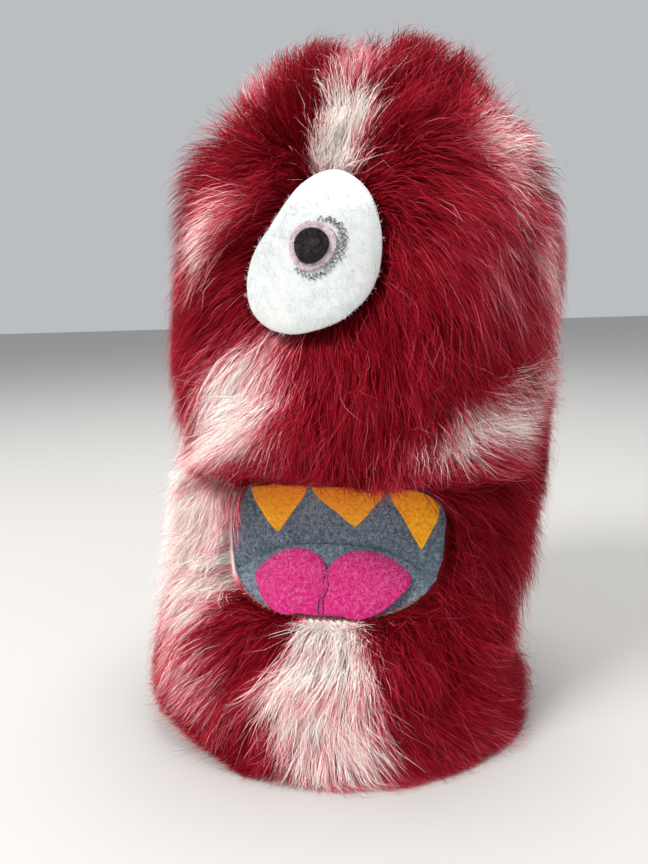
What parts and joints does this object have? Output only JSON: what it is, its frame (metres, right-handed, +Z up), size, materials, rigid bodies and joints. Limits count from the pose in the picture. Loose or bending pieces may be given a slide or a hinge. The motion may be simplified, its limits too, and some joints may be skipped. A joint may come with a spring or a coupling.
{
  "type": "hand puppet",
  "caption": "Long-pile furry cyclops hand puppet with a felt eye and an opening felt mouth with teeth and tongue, standing on its open lower end.",
  "frame": {"origin": "centre of the puppet's box on the table, under the open lower end of the sleeve", "axes": "+Z up; the face looks along -Y; +X is on the right of someone who looks at the face"},
  "size_m": [0.1271, 0.12, 0.203],
  "materials": {
    "fur": "long-pile fake fur, crimson with pink and white patches",
    "backing": "knitted backing cloth of the fur, turned in and hemmed",
    "lining": "plain woven cotton",
    "white_felt": "matt white felt",
    "iris_felt": "matt grey-pink felt",
    "black_felt": "matt black felt",
    "mouth_felt": "mottled grey-blue wool felt",
    "tongue_felt": "matt magenta-pink felt",
    "tooth_felt": "matt orange-yellow felt",
    "board": "plain stiff sheet",
    "thread": "black sewing thread",
    "seam_thread": "dark red sewing thread",
    "stuffing": "loose white polyester fill"
  },
  "bodies": {
    "sleeve": {"sleeve_front_fur": "fur", "sleeve_back_fur": "fur", "sleeve_lining": "lining", "hem_band": "backing", "hem_stitch": "seam_thread", "sleeve_seam_left": "seam_thread", "sleeve_seam_right": "seam_thread", "mouth_fold": "mouth_felt"},
    "head": {"face_fur": "fur", "head_back_fur": "fur", "head_lining": "lining", "head_side_seam": "seam_thread", "crown_stuffing": "stuffing", "mouth_felt_upper": "mouth_felt", "mouth_board_upper": "board", "finger_strap": "lining", "lip_seam_upper": "seam_thread", "tooth_left": "tooth_felt", "tooth_middle": "tooth_felt", "tooth_right": "tooth_felt", "eye_white": "white_felt", "eye_iris": "iris_felt", "eye_pupil": "black_felt", "eye_ring_stitch": "thread", "eye_edge_stitch": "thread"},
    "jaw": {"chin_fur": "fur", "mouth_felt_lower": "mouth_felt", "mouth_board_lower": "board", "thumb_strap": "lining", "lip_seam_lower": "seam_thread", "tongue": "tongue_felt", "tongue_stitch": "thread"}
  },
  "joints": [
    {"name": "head_nod", "type": "hinge", "parent": "sleeve", "child": "head", "pos_m": [0, -0.031, 0.061], "axis": [1, 0, 0], "range_deg": [-12, 26]},
    {"name": "jaw_open", "type": "hinge", "parent": "sleeve", "child": "jaw", "pos_m": [0, -0.031, 0.061], "axis": [1, 0, 0], "range_deg": [-40, 8]}
  ]
}
